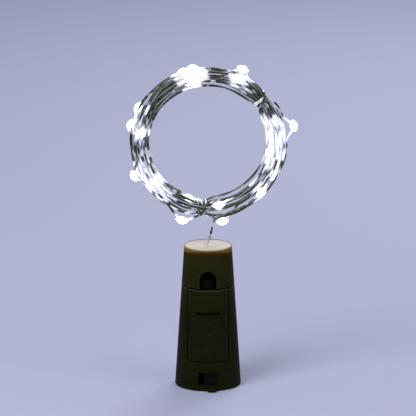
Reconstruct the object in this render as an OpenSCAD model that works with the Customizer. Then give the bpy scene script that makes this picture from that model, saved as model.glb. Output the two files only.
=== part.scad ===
// Cork bottle light: a tapered battery plug, with a string of small lights wound in a
// hoop that stands on its own stiff lead. Millimetres, +Z up, the origin at the centre
// of the wide end, the battery door and the switch on the -Y side.

/* [Cork body] */
// Diameter of the wide end, on which the cork stands
base_d = 24; // [23.6:0.1:26]
// Diameter of the narrow end
top_d = 17.3; // [17:0.1:19]
// Height of the cork without the string
body_h = 52; // [51:0.1:56]
// Thickness of the moulded walls
wall = 1.2; // [1:0.05:1.3]
// Width of the groove between the lower shell and the nose
seam_gap = 0.4; // [0.2:0.05:0.6]
// Length of the collar that joins the nose to the lower shell
collar_h = 3; // [2:0.1:4]
// Thickness of that collar
collar_t = 0.8; // [0.6:0.05:0.9]
// Thickness of the cap that closes the wide end
cap_t = 1.4; // [1.2:0.1:1.6]
// Width of the fingernail tab on the cap
tab_w = 3; // [2.6:0.1:5]
// How far the tab stands out of the cap
tab_out = 1.4; // [0.8:0.1:1.8]
// Distance of the tab from the middle of the front
tab_x = 1.5; // [0:0.1:2]
// Rounding of the edge at the wide end
edge_round = 0.5; // [0.3:0.05:0.7]

/* [Top disc] */
// Width of the lip round the disc
lip_w = 0.45; // [0.4:0.05:0.6]
// Thickness of the disc
disc_t = 1.2; // [1:0.1:1.6]
// Hole in the disc for the lead
exit_d = 1.6; // [1.3:0.1:2.2]

/* [Battery door] */
// Width of the door, measured straight across
door_w = 14.8; // [14.6:0.1:15.2]
// Gap round the door
door_gap = 0.25; // [0.15:0.05:0.3]
// Length of the thumb groove
groove_w = 8.8; // [7:0.1:10]
// Width of the thumb groove
groove_h = 1.2; // [0.8:0.1:1.4]
// Depth of the thumb groove
groove_depth = 0.7; // [0.4:0.05:0.8]
// Height of the thumb groove above the door's lower edge
groove_up = 17.5; // [15:0.1:19]
// Width of the arched latch window in the nose
window_w = 6; // [5.4:0.1:6.4]
// Height of that window
window_h = 6.6; // [6:0.1:7.5]
// Gap on each side of the latch tongue
tongue_gap = 0.4; // [0.3:0.05:0.6]
// Thickness of the latch tongue
tongue_t = 0.9; // [0.7:0.05:1]

/* [Batteries] */
// Diameter of a button cell
cell_d = 11.6; // [11.4:0.1:11.6]
// Thickness of a button cell
cell_h = 5.4; // [5.2:0.05:5.4]
// Height of the compressed spring
spring_h = 3.5; // [3:0.1:3.8]
// Wire of the spring
spring_wire = 0.5; // [0.4:0.05:0.6]
// Gap between a cell and its cradle
cell_gap = 0.25; // [0.15:0.05:0.3]
// Wall of the cradle
cradle_wall = 0.9; // [0.8:0.05:1]
// Thickness of the contact plates
contact_t = 0.3; // [0.2:0.05:0.4]

/* [Switch] */
// Height of the switch above the wide end
switch_z = 4.75; // [4.65:0.05:4.9]
// Width of the button
button_w = 4.6; // [4:0.1:4.8]
// Height of the button
button_h = 4.5; // [4:0.1:4.6]
// Travel of the button
button_travel = 2.1; // [1.6:0.1:2.2]
// Gap between the button and its window
button_gap = 0.12; // [0.1:0.01:0.2]
// How far the bezel round the window stands proud
bezel_out = 0.25; // [0.1:0.05:0.4]
// Thickness of the circuit board
board_t = 1; // [0.8:0.1:1.2]
// Height of the chamber that holds the circuit board
chamber_h = 8.2; // [8.1:0.1:9]

/* [Light string] */
// Diameter of the pair of wires
wire_d = 0.7; // [0.6:0.05:0.8]
// Radius of the hoop's outermost turn
hoop_outer_r = 28; // [27.8:0.1:28.8]
// Radius of the hoop's innermost turn
hoop_inner_r = 21; // [19.6:0.1:21.2]
// Distance between the layers of the hoop
layer_pitch = 1.9; // [1.85:0.05:2.2]
// Height of the hoop's centre above the top disc
hoop_up = 38; // [37.8:0.1:38.2]
// Diameter of a light drop
drop_d = 2.6; // [2.2:0.1:2.6]
// Length of a light drop
drop_len = 4.6; // [4:0.1:5]
// Wire of the two ties
tie_wire = 0.5; // [0.4:0.05:0.6]

/* [Hidden] */
$fn = 48;

// Colours, as the photograph shows them
cork_colour = "#6b5428";
cream = "#d8cdbc";
silver = "#c8cad2";

// --- Heights, from the wide end up ---
deck_t = 1.2;                         // floor that carries the cradle
deck_z = cap_t + chamber_h;
cradle_z = deck_z + deck_t;
stack_z = cradle_z + cradle_wall + contact_t + spring_h;   // underside of the lowest cell
contact_z = stack_z + 3 * cell_h;                          // underside of the upper contact
cradle_top = contact_z + contact_t + cradle_wall;
door_z = cradle_z + door_gap;         // lower edge of the door
latch_room = 4.2;                     // from the cradle up to the seam
seam_z = cradle_top + latch_room;     // top edge of the lower shell and of the door
nose_z = seam_z + seam_gap;           // lower edge of the nose
disc_recess = 0.15;                   // the disc lies this far below the lip
disc_z = body_h - disc_recess - disc_t;

// Radius of the cork's outside at height z
function r_at(z) = base_d / 2 + (top_d - base_d) / 2 * z / body_h;
// Radius of the walls' inside at height z
function inner_r(z) = r_at(z) - wall;
function unit(v) = v / norm(v);

// A solid cone that follows the cork's outside, drawn in by inset
module cork_cone(z0, z1, inset = 0) {
    translate([0, 0, z0]) cylinder(h = z1 - z0, r1 = r_at(z0) - inset, r2 = r_at(z1) - inset);
}
// The part of that cone between two depths below the outside
module band(z0, z1, outer, inner) {
    difference() {
        cork_cone(z0, z1, outer);
        cork_cone(z0 - 1, z1 + 1, inner);
    }
}
// The space in front of the axis between two heights, w wide
module front_slab(w, z0, z1) {
    translate([-w / 2, -base_d, z0]) cube([w, base_d, z1 - z0]);
}
// The space behind the axis between two heights, w wide, from y0 back
module back_slab(w, z0, z1, y0) {
    translate([-w / 2, y0, z0]) cube([w, base_d, z1 - z0]);
}

// --- Tubes: one polyhedron swept along a list of points ---
function tangents(p) = [for (i = [0 : len(p) - 1])
    unit(p[min(i + 1, len(p) - 1)] - p[max(i - 1, 0)])];
// A normal for each point, turned as little as possible from one to the next
function normals(t, start) = [for (i = 0, n = unit(start - (start * t[0]) * t[0]);
    i < len(t);
    i = i + 1, n = i < len(t) ? unit(n - (n * t[i]) * t[i]) : n) n];
module tube(p, d, sides, start = [0.3, 1, 0.2]) {
    t = tangents(p);
    n = normals(t, start);
    rings = [for (i = [0 : len(p) - 1], k = [0 : sides - 1])
        p[i] + d / 2 * (cos(360 * k / sides) * n[i] + sin(360 * k / sides) * cross(t[i], n[i]))];
    last = (len(p) - 1) * sides;
    side_faces = [for (i = [0 : len(p) - 2], k = [0 : sides - 1], half = [0, 1])
        let (a = i * sides + k, b = i * sides + (k + 1) % sides)
        half == 0 ? [a, a + sides, b] : [b, a + sides, b + sides]];
    caps = [for (k = [1 : sides - 2]) [0, k, k + 1]];
    end_caps = [for (k = [1 : sides - 2]) [last, last + k + 1, last + k]];
    polyhedron(rings, concat(side_faces, caps, end_caps));
}
// The corners of a path, each rounded by a short curve of radius r
function rounded(p, r) = concat([p[0]],
    [for (i = [1 : len(p) - 2], u = [0, 0.33, 0.67, 1])
        let (a = p[i] + r * unit(p[i - 1] - p[i]), b = p[i] + r * unit(p[i + 1] - p[i]))
        (1 - u) * (1 - u) * a + 2 * u * (1 - u) * p[i] + u * u * b],
    [p[len(p) - 1]]);

// --- Cork body ---
button_window_w = button_w + button_travel + 2 * button_gap;
button_window_h = button_h + 2 * button_gap;
bezel_w = 0.6;                        // width of the bezel's frame
bezel_top = switch_z + button_window_h / 2 + bezel_w;
bezel_bottom = switch_z - button_window_h / 2 - bezel_w + 0.35;
seam_chamfer = 0.35;
collar_fit = 0.05;                    // the collar's clearance in the nose
collar_root = 2.6;                    // how far the collar's root runs below the seam
wire_slot_w = 6;                      // width of the way up the back for the inner wires
wire_slot_y = cell_d / 2 + cell_gap + cradle_wall - 0.3;
peg_d = 1.6;
peg_gap = 0.1;
peg_x = 5;
peg_y = 2.5;
bite = 0.1;                           // how far a joined or cut shape reaches into its wall
collar_skin = 0.25;                   // what the collar keeps outside the string's groove
groove_gap = 0.3;                     // beside the string in its groove

// Profile of the lower shell's wall, with the collar that the nose slides over
module shell_profile() {
    c_out = wall + collar_fit;
    c_in = wall + collar_t;
    polygon([[r_at(cap_t), cap_t],
        [r_at(seam_z - seam_chamfer), seam_z - seam_chamfer],
        [r_at(seam_z) - seam_chamfer, seam_z],
        [r_at(seam_z) - c_out, seam_z],
        [r_at(seam_z + collar_h) - c_out, seam_z + collar_h],
        [r_at(seam_z + collar_h) - c_in, seam_z + collar_h],
        [r_at(seam_z - collar_root + 1) - c_in, seam_z - collar_root + 1],
        [r_at(seam_z - collar_root) - wall, seam_z - collar_root],
        [r_at(cap_t) - wall, cap_t]]);
}

// The board's two slotted posts, which hang from the deck
post_x = 5.3;
post_w = 2.6;
post_cover = 1;                       // post material on each face of the board
board_gap = 0.08;
board_half_w = 6.2;
cap_plug_h = 2.2;                     // height of the cap's plug inside the shell
cap_plug_t = 1;
post_z = cap_t + cap_plug_h + 0.3;
module board_post(side) {
    depth = board_t + 2 * post_cover + 2 * board_gap;
    translate([side * (post_x + post_w / 2) - post_w / 2, board_y - post_cover - board_gap, post_z])
        cube([post_w, depth, deck_z - post_z + bite]);
}

module body_shell() {
    color(cork_colour) difference() {
        union() {
            rotate_extrude() shell_profile();
            cork_cone(deck_z, cradle_z, wall - bite);
            for (side = [-1, 1]) board_post(side);
            intersection() {
                band(bezel_bottom, bezel_top, -bezel_out, wall / 2);
                front_slab(button_window_w + 2 * bezel_w, bezel_bottom, bezel_top);
            }
        }
        // The door's opening, up to the seam
        front_slab(door_w + 2 * door_gap, cradle_z, seam_z + door_gap);
        // The latch's way through the collar
        front_slab(window_w + 0.6, cradle_z, seam_z + collar_h + 1);
        // The wires' way up the back, through the deck but not the wall
        intersection() {
            cork_cone(deck_z - 1, cradle_z + 1, wall - bite);
            back_slab(wire_slot_w, deck_z - 1, cradle_z + 1, wire_slot_y);
        }
        // The string's groove up the inside of the collar, which stays closed behind it
        intersection() {
            cork_cone(seam_z - collar_root - 1, seam_z + collar_h + 1,
                wall + collar_fit + collar_skin);
            back_slab(wire_d + 2 * groove_gap, seam_z - collar_root - 1, seam_z + collar_h + 1, 0);
        }
        // The switch's window
        translate([-button_window_w / 2, -base_d, switch_z - button_window_h / 2])
            cube([button_window_w, base_d, button_window_h]);
        // Slots for the board's edges
        translate([-board_half_w - board_gap, board_y - board_gap, cap_t])
            cube([2 * (board_half_w + board_gap), board_t + 2 * board_gap, deck_z - cap_t - 0.1]);
        // Holes for the cradle's pegs
        for (side = [-1, 1]) translate([side * peg_x, peg_y, deck_z - 1])
            cylinder(h = deck_t + 2, d = peg_d + 2 * peg_gap);
    }
}

module base_cap() {
    plug_r = inner_r(cap_t) - 0.05;
    plug_top_r = inner_r(cap_t + cap_plug_h) - 0.05;
    color(cork_colour) {
        difference() {
            union() {
                rotate_extrude() polygon(concat([[0, 0]],
                    [for (a = [0 : 22.5 : 90]) [r_at(0) - edge_round + edge_round * sin(a),
                        edge_round - edge_round * cos(a)]],
                    [[r_at(cap_t), cap_t], [0, cap_t]]));
                translate([0, 0, cap_t]) cylinder(h = cap_plug_h, r1 = plug_r, r2 = plug_top_r);
                cap_tab();
            }
            translate([0, 0, cap_t]) cylinder(h = cap_plug_h + 1, r = plug_top_r - cap_plug_t);
            // The plug is left out where the switch stands
            translate([-base_d, -base_d, cap_t]) cube([2 * base_d, base_d, cap_plug_h + 1]);
        }
    }
}
// The fingernail tab at the foot of the cap
module cap_tab() {
    corner = 0.6;
    tab_y = -base_d / 2 - tab_out;
    linear_extrude(cap_t - 0.2) {
        translate([tab_x - tab_w / 2, tab_y + corner]) square([tab_w, tab_out + 2]);
        translate([tab_x - tab_w / 2 + corner, tab_y]) square([tab_w - 2 * corner, corner + 1]);
        for (side = [-1, 1])
            translate([tab_x + side * (tab_w / 2 - corner), tab_y + corner]) circle(corner);
    }
}

module nose_shell() {
    seat_r = top_d / 2 - lip_w;
    seat_gap = 0.05;
    lip_chamfer = 0.15;
    color(cork_colour) difference() {
        rotate_extrude() polygon([[inner_r(nose_z), nose_z],
            [r_at(nose_z) - 0.15, nose_z], [r_at(nose_z + 0.15), nose_z + 0.15],
            [r_at(body_h - lip_chamfer), body_h - lip_chamfer],
            [r_at(body_h) - lip_chamfer, body_h], [seat_r + seat_gap, body_h],
            [seat_r + seat_gap, disc_z], [inner_r(disc_z), disc_z]]);
        latch_window();
    }
}
// The arched opening above the door, open at the seam
module latch_window() {
    arch_r = window_w / 2;
    rotate([90, 0, 0]) linear_extrude(base_d) {
        translate([-arch_r, nose_z - 1]) square([window_w, 1 + window_h - arch_r]);
        translate([0, nose_z + window_h - arch_r]) circle(arch_r);
    }
}

module top_disc() {
    disc_r = top_d / 2 - lip_w;
    plug_gap = 0.05;
    plug_t = 0.8;
    plug_h = 1.5;
    plug_r = inner_r(disc_z) - plug_gap;
    color(cream) difference() {
        union() {
            translate([0, 0, disc_z]) cylinder(h = disc_t, r = disc_r);
            translate([0, 0, disc_z - plug_h]) cylinder(h = plug_h, r = plug_r);
        }
        translate([0, 0, disc_z - plug_h - 1]) cylinder(h = plug_h + 1, r = plug_r - plug_t);
        translate([0, 0, disc_z - 1]) cylinder(h = disc_t + 2, d = exit_d);
    }
}

// The drop of glue that holds the lead in the disc
seal_h = 0.6;
module wire_seal() {
    seal_r = exit_d / 2 + 0.6;
    bore_r = wire_d / 2 + 0.05;
    color("#e6dcc0") translate([0, 0, disc_z + disc_t]) rotate_extrude()
        polygon(concat([[bore_r, 0]],
            [for (a = [0 : 15 : 75]) [seal_r * cos(a), seal_h * sin(a)]], [[bore_r, seal_h]]));
}

// --- Battery door ---
module battery_door() {
    score_h = 0.3;                    // the fine line below the door's top edge
    score_depth = 0.25;
    score_down = 1.5;
    score_z = seam_z - score_down;
    groove_z = door_z + groove_up;
    color(cork_colour) {
        difference() {
            intersection() {
                band(door_z, seam_z, 0, wall);
                front_slab(door_w, door_z, seam_z);
            }
            line_in_face(groove_w, groove_z, groove_h, groove_depth);
            line_in_face(door_w - 3, score_z, score_h, score_depth);
        }
        latch_tongue();
    }
}
// A groove of width w and height h at height z, which follows the face at one depth
module line_in_face(w, z, h, depth) {
    difference() {
        front_slab(w, z - h / 2, z + h / 2);
        cork_cone(z - h, z + h, depth);
    }
}
// The springy tongue that rises from the door's top into the window
module latch_tongue() {
    tongue_w = window_w - 2 * tongue_gap;
    sink = wall + 1;                  // depth of the tongue's face below the cork's outside
    root_h = 2.8;
    tip_z = nose_z + window_h / 2;
    rib_h = 0.7;
    intersection() {
        union() {
            band(seam_z - root_h, tip_z, sink, sink + tongue_t);
            band(seam_z - root_h, seam_z - 0.2, wall / 2, sink + tongue_t / 2);
            band(tip_z - rib_h, tip_z, wall + 0.4, sink + tongue_t / 2);
        }
        front_slab(tongue_w, seam_z - root_h, tip_z);
    }
}

// --- Battery cradle and cells ---
cradle_r = cell_d / 2 + cell_gap;
cradle_out_r = cradle_r + cradle_wall;
arm_y = -3.4;                         // the trough's arms end here
lane_gap = 0.15;                      // between the cradle and the wires behind it
inner_wire_d = 0.9;
lane_y = cradle_out_r + lane_gap + wire_d / 2;
lead_x = 1.8;                         // sideways place of the two battery wires
lead_y = sqrt(pow(cradle_out_r + lane_gap + inner_wire_d / 2, 2) - lead_x * lead_x);
strip_w = 1.2;

// A trough's outline: a half circle behind and two straight arms in front
module trough_outline(r) {
    circle(r);
    translate([-r, arm_y]) square([2 * r, -arm_y]);
}
module battery_cradle() {
    h = cradle_top - cradle_z;
    peg_len = deck_t - 0.1;
    color("#3a3630") {
        difference() {
            translate([0, 0, cradle_z]) linear_extrude(h) intersection() {
                trough_outline(cradle_out_r);
                translate([-base_d, arm_y]) square([2 * base_d, base_d]);
            }
            // The cells' room, open to the front
            translate([0, 0, cradle_z + cradle_wall]) cylinder(h = h - 2 * cradle_wall, r = cradle_r);
            translate([-cradle_r, -base_d, cradle_z + cradle_wall])
                cube([2 * cradle_r, base_d, h - 2 * cradle_wall]);
            // Slots in the back for the tails of the contacts
            contact_slot(lead_x, contact_z - 0.4, contact_t + 0.4);
            contact_slot(-lead_x, cradle_z + cradle_wall, contact_t + 0.4);
        }
        for (side = [-1, 1]) translate([side * peg_x, peg_y, cradle_z - peg_len])
            cylinder(h = peg_len, d = peg_d);
    }
}
module contact_slot(x, z, h) {
    translate([x - strip_w / 2 - 0.2, 0, z]) cube([strip_w + 0.4, base_d / 2, h]);
}

cell_cap_h = 0.4;                     // the cap that stands proud of the can
cell_cap_d = 9.4;
module button_cell(number) {
    color(silver) translate([0, 0, stack_z + (number - 1) * cell_h]) {
        cylinder(h = cell_cap_h, d = cell_cap_d);
        translate([0, 0, cell_cap_h]) cylinder(h = cell_h - cell_cap_h, d = cell_d);
    }
}

// A contact plate with a tail that reaches through the cradle to its wire
module contact_plate(z, side) {
    color("#b9b9bd") translate([0, 0, z]) {
        cylinder(h = contact_t, r = cradle_r - 0.6);
        translate([side * lead_x - strip_w / 2, 0, 0])
            cube([strip_w, lead_y + inner_wire_d / 2, contact_t]);
    }
}
module spring_plate() {
    contact_plate(cradle_z + cradle_wall, -1);
}
module positive_contact() {
    contact_plate(contact_z, 1);
}

// The conical spring under the cells
spring_curls = 4;
curl_rings = 8;
spring_base_r = 4.2;
spring_tip_r = 2.4;
module cell_spring() {
    z0 = cradle_z + cradle_wall + contact_t + spring_wire / 2 + 0.01;
    z1 = stack_z - spring_wire / 2 - 0.01;
    steps = spring_curls * curl_rings;
    color("#d0d0d4") tube([for (i = [0 : steps]) let (u = i / steps, a = 360 * i / curl_rings,
        r = spring_base_r + (spring_tip_r - spring_base_r) * u)
        [r * cos(a), r * sin(a), z0 + (z1 - z0) * u]], spring_wire, 6, [0, 0, 1]);
}

// --- Switch and circuit board ---
flange_t = 0.8;
flange_h = button_h + 0.7;
flange_w = button_window_w + button_travel + 1;
// The button rests at its right-hand end
button_x = button_travel / 2;
// The flange lies just behind the shell's round inner wall, at both ends of its travel
flange_reach = flange_w / 2 + button_travel / 2;
flange_wall_r = inner_r(switch_z + flange_h / 2);
flange_y = -sqrt(flange_wall_r * flange_wall_r - flange_reach * flange_reach) + 0.3;
case_gap = 0.3;
case_y = flange_y + flange_t + case_gap;
case_w = 8.6;
case_h = 4.4;
case_depth = 3.4;
case_t = 0.3;
base_t = 0.8;
board_y = case_y + case_depth;
board_z = cap_t + 0.7;
board_h = chamber_h - 0.9;
lever_w = 1.5;
lever_foot_w = 3.6;
lever_foot_h = 2.4;
lever_foot_t = 0.6;
foot_gap = 0.1;                       // between the lever's foot and the case
wiper_w = 3.2;
wiper_h = 2;
wiper_t = 0.3;
pin_pitch = 2.5;
pin_w = 0.5;

module switch_button() {
    face_y = -sqrt(pow(r_at(switch_z), 2) - pow(button_window_w / 2, 2)) + 0.2;
    grip_depth = 0.35;
    grip_w = 0.5;
    grip_pitch = 1.2;
    color("#2c2620") difference() {
        translate([button_x, 0, switch_z]) union() {
            translate([-button_w / 2, face_y, -button_h / 2])
                cube([button_w, flange_y - face_y + 0.1, button_h]);
            translate([-flange_w / 2, flange_y, -flange_h / 2])
                cube([flange_w, flange_t, flange_h]);
        }
        // Three grip grooves across the face
        for (i = [-1 : 1]) translate([button_x + i * grip_pitch - grip_w / 2, face_y - 1, 0])
            cube([grip_w, 1 + grip_depth, switch_z + button_h]);
        // Pocket for the switch's lever
        translate([button_x - lever_w / 2 - 0.05, flange_y - 0.8, switch_z - lever_w / 2 - 0.05])
            cube([lever_w + 0.1, base_d, lever_w + 0.1]);
    }
}
// The switch's own lever, with the foot that keeps it in the case
module switch_lever() {
    foot_y = case_y + case_t + foot_gap;
    color("#1d1d1f") translate([button_x, 0, switch_z]) {
        translate([-lever_w / 2, flange_y - 0.7, -lever_w / 2])
            cube([lever_w, foot_y - flange_y + 0.7, lever_w]);
        translate([-lever_foot_w / 2, foot_y, -lever_foot_h / 2])
            cube([lever_foot_w, lever_foot_t, lever_foot_h]);
    }
}
// The bridge under the lever that joins two of the three pins
module switch_wiper() {
    wiper_y = case_y + case_t + foot_gap + lever_foot_t;
    color("#c9a24a") translate([button_x - wiper_w / 2, wiper_y, switch_z - wiper_h / 2])
        cube([wiper_w, wiper_t, wiper_h]);
}
module switch_case() {
    color(silver) difference() {
        translate([-case_w / 2, case_y, switch_z - case_h / 2]) cube([case_w, case_depth, case_h]);
        translate([-case_w / 2 + case_t, case_y + case_t, switch_z - case_h / 2 + case_t])
            cube([case_w - 2 * case_t, case_depth, case_h - 2 * case_t]);
        slot_w = lever_w + button_travel + 0.3;
        translate([-slot_w / 2, case_y - 1, switch_z - lever_w / 2 - 0.15])
            cube([slot_w, 2, lever_w + 0.3]);
    }
}
module switch_base() {
    inset = case_t + 0.05;
    color("#5a3a1e") difference() {
        translate([-case_w / 2 + inset, board_y - base_t, switch_z - case_h / 2 + inset])
            cube([case_w - 2 * inset, base_t, case_h - 2 * inset]);
        pin_holes();
    }
}
// Round holes for the three pins
module pin_holes() {
    for (i = [-1 : 1]) translate([i * pin_pitch, board_y - base_t - 1, switch_z])
        rotate([-90, 0, 0]) cylinder(h = base_t + board_t + 2, r = 0.45);
}
module switch_pins() {
    pin_len = base_t + board_t + 1;
    color("#c8c0a8") for (i = [-1 : 1])
        translate([i * pin_pitch - pin_w / 2, board_y - base_t - 0.4, switch_z - pin_w / 2])
            cube([pin_w, pin_len, pin_w]);
}
module circuit_board() {
    color("#2f6b3a") difference() {
        translate([-board_half_w, board_y, board_z]) cube([2 * board_half_w, board_t, board_h]);
        pin_holes();
        for (side = [-1, 1]) translate([side * resistor_pin_x, board_y - 1, resistor_z])
            rotate([-90, 0, 0]) cylinder(h = board_t + 2, r = 0.35);
    }
}
// Two small wedges on the cap's side that hold the board up in its slots
clip_x = 4.5;
clip_w = 1.6;
clip_reach = 0.6;                     // past each face of the board
module board_clips() {
    color(cork_colour) for (side = [-1, 1])
        translate([side * clip_x - clip_w / 2, board_y - clip_reach, cap_t])
            cube([clip_w, board_t + 2 * clip_reach, board_z - cap_t]);
}

resistor_z = 7.9;
resistor_d = 1.5;
resistor_len = 3.4;
resistor_pin_x = 2.6;
module resistor() {
    body_y = board_y + board_t + 0.15 + resistor_d / 2;
    leg_d = 0.5;
    color("#c9b48a") {
        translate([-resistor_len / 2, body_y, resistor_z]) rotate([0, 90, 0])
            cylinder(h = resistor_len, d = resistor_d);
        translate([-resistor_pin_x, body_y, resistor_z]) rotate([0, 90, 0])
            cylinder(h = 2 * resistor_pin_x, d = leg_d);
        for (side = [-1, 1]) translate([side * resistor_pin_x, board_y - 0.4, resistor_z])
            rotate([-90, 0, 0]) cylinder(h = body_y - board_y + 0.4 + leg_d / 2, d = leg_d);
    }
}

// --- Wires inside the cork ---
board_back_y = board_y + board_t;
bend_r = 1.2;
battery_joint_z = 6.2;                // solder joints on the board's back
string_joint_z = 3.3;
tail_rise = 3.5;                      // straight stretch of the tail below the disc
module positive_wire() {
    color("#a82a24") tube(rounded([[lead_x, lead_y, contact_z], [lead_x, lead_y, battery_joint_z],
        [lead_x, board_back_y, battery_joint_z]], bend_r), inner_wire_d, 8);
}
module negative_wire() {
    color("#1c1c1e") tube(rounded([[-lead_x, lead_y, cradle_z + cradle_wall],
        [-lead_x, lead_y, battery_joint_z], [-lead_x, board_back_y, battery_joint_z]], bend_r),
        inner_wire_d, 8);
}
// The string's inner end, from the board up behind the cradle to the hole in the disc
module string_tail() {
    color(silver) tube(rounded([[0, board_back_y, string_joint_z], [0, lane_y, string_joint_z],
        [0, lane_y, seam_z], [0, 0, disc_z - tail_rise], [0, 0, disc_z + disc_t / 2]], bend_r),
        wire_d, 8);
}

// --- The light string ---
hoop_z = body_h + hoop_up;
hoop_layers = 4;
loop_rings = 24;
hoop_turns = 13.25;
hoop_start = 278;                     // angle of the first turn, from +X towards +Z
layer_turns = hoop_turns / hoop_layers;
hoop_steps = hoop_turns * loop_rings;
climb = 0.25;                         // turns on each side of a reversal in which it climbs
// The ties lie at these angles and draw the turns together
tie_angles = [263, 38];
tie_squeeze = 0.35;
tie_reach = 8;                        // degrees
// Each light: its place in steps along the winding, how far it stands out of its turn,
// and how far the wire steps aside to pass over its neighbours, but not inside a tie
lights = [[12, 2.4, 0], [27, 0, 0], [43, 6, -1.6], [60, 0, 0], [78, 0, 0], [96, 0, 0],
    [113, 0, 0], [130, 0, 0], [142, 3.6, 0], [157, 2, 0], [172, 0, 0], [188, 0, 0],
    [204, 0, 0], [221, -1.5, 0], [238, 0, 0], [257, 6, 1.6], [274, 6, 1.6],
    [288, 0, 0], [304, 2.6, 0], [318, 3.5, 0]];

function total(v) = v * [for (x = v) 1];
function off_angle(a, b) = abs((a - b + 540) % 360 - 180);
// The layers spiral in and out in turn
function turn_radius(t) = let (k = min(floor(t / layer_turns), hoop_layers - 1),
    u = t / layer_turns - k, way = k % 2 == 0 ? u : 1 - u)
    hoop_outer_r + (hoop_inner_r - hoop_outer_r) * way;
// The front layer is the first; the wire climbs to the next one round each reversal
function layer_y(t) = let (k = min(floor(t / layer_turns), hoop_layers - 1),
    after = t - k * layer_turns, before = (k + 1) * layer_turns - t,
    level = k - (hoop_layers - 1) / 2,
    up = k > 0 && after < climb ? -(1 - after / climb) / 2 : 0,
    on = k < hoop_layers - 1 && before < climb ? (1 - before / climb) / 2 : 0)
    layer_pitch * (level + up + on);
function gather(a) = 1 - tie_squeeze * total([for (c = tie_angles)
    exp(-pow(off_angle(a, c) / tie_reach, 2))]);
function stand_out(i) = total([for (q = lights) let (d = abs(i - q[0]))
    q[1] * (d == 0 ? 1 : d == 1 && q[2] != 0 ? 0.15 : 0)]);
function step_aside(i) = total([for (q = lights) let (d = abs(i - q[0]))
    q[2] * (d < 2 ? 1 : d == 2 ? 0.4 : 0)]);
// Point i of the winding
function hoop_point(i) = let (t = i / loop_rings, a = hoop_start + 360 * t, g = gather(a),
    mid = (hoop_outer_r + hoop_inner_r) / 2,
    r = mid + (turn_radius(t) - mid) * g + stand_out(i),
    y = layer_y(t) * g + step_aside(i) * (1 - (1 - g) / tie_squeeze))
    [r * cos(a), y, hoop_z + r * sin(a)];
hoop_points = [for (i = [0 : hoop_steps]) hoop_point(i)];
start_way = unit([-sin(hoop_start), 0, cos(hoop_start)]);
coil_start = hoop_points[0] - wire_d * start_way;

module wire_coil() {
    near = loop_rings / 2;            // points closer than this lie on the same stretch
    gaps = [for (i = [0 : hoop_steps - near], j = [i + near : hoop_steps])
        norm(hoop_points[i] - hoop_points[j])];
    echo(least_gap_in_hoop = min(gaps) - wire_d);
    lengths = [for (i = [1 : hoop_steps]) norm(hoop_points[i] - hoop_points[i - 1])];
    echo(wire_length_in_hoop = total(lengths));
    color(silver) tube(concat([coil_start], hoop_points), wire_d, 6, [0, 1, 0]);
}

// The free lead from the disc up to the winding, with points chosen by hand
lead_points = [[0, 0, 51.25], [0, 0, 52.5], [0.25, -0.2, 53.6], [0.8, -0.7, 55.5],
    [1.25, -1.4, 57.5], [1.55, -2.1, 59.5], [1.75, -2.6, 60.9], [2.1, -2.8, 61.7]];
module lead_wire() {
    color(silver) tube(concat(lead_points, [coil_start - wire_d * start_way, coil_start]), wire_d, 8);
}

// One tie: a few loops of fine wire round the gathered turns
tie_loops = 3;
tie_pitch = 0.95;
tie_rings = 24;
tie_gap = 0.75;
module tie(angle) {
    mid = (hoop_outer_r + hoop_inner_r) / 2;
    half_r = (hoop_outer_r - hoop_inner_r) / 2 * (1 - tie_squeeze) + wire_d / 2 + tie_gap + tie_wire / 2;
    half_y = layer_pitch * (hoop_layers - 1) / 2 * (1 - tie_squeeze)
        + wire_d / 2 + tie_gap + tie_wire / 2;
    steps = tie_loops * tie_rings;
    // Along the hoop's radius, the cork's Y and the hoop's tangent
    points = [for (i = [0 : steps]) let (a = 360 * i / tie_rings,
        swell = pow(pow(abs(cos(a)), 3) + pow(abs(sin(a)), 3), -1 / 3),
        along = (i / steps - 0.5) * tie_loops * tie_pitch,
        out = mid + half_r * swell * cos(a))
        [out * cos(angle) - along * sin(angle), half_y * swell * sin(a),
            hoop_z + out * sin(angle) + along * cos(angle)]];
    tube(points, tie_wire, 6, [-sin(angle), 0, cos(angle)]);
}
module coil_ties() {
    color(silver) for (angle = tie_angles) tie(angle);
}

// Places a child at light q, with its +Z along the wire
module at_light(q) {
    i = q[0];
    way = unit(hoop_points[min(i + 1, hoop_steps)] - hoop_points[i - 1]);
    translate(hoop_points[i]) rotate([0, acos(way[2]), atan2(way[1], way[0])]) children();
}
chip = [0.5, 0.9, 1.2];
module chip_block() {
    translate([wire_d / 2 + 0.08, -chip[1] / 2, -chip[2] / 2]) cube(chip);
}
// A drop of clear resin, pointed at both ends
module light_drops() {
    r = drop_d / 2;
    h = drop_len / 2;
    color("white") for (q = lights) at_light(q) rotate_extrude($fn = 16)
        polygon([[0, -h], [0.62 * r, -0.72 * h], [r, -0.22 * h],
            [r, 0.22 * h], [0.62 * r, 0.72 * h], [0, h]]);
}
module light_chips() {
    color("#f2e27a") for (q = lights) at_light(q) chip_block();
}

body_shell();
base_cap();
nose_shell();
top_disc();
wire_seal();
battery_door();
battery_cradle();
button_cell(1);  // button_cell_1
button_cell(2);  // button_cell_2
button_cell(3);  // button_cell_3
cell_spring();
spring_plate();
positive_contact();
circuit_board();
board_clips();
resistor();
switch_case();
switch_base();
switch_pins();
switch_button();
switch_lever();
switch_wiper();
positive_wire();
negative_wire();
string_tail();
lead_wire();
wire_coil();
coil_ties();
light_drops();
light_chips();
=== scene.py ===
"""Cork bottle light: the looks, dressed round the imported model.

Metres, +Z up, the battery door and the switch towards -Y. Sizes are named in millimetres
and turned to metres once, with MM.
"""
import math

import bpy
import numpy as np
from mathutils import Matrix, Vector
from mathutils.kdtree import KDTree


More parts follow.
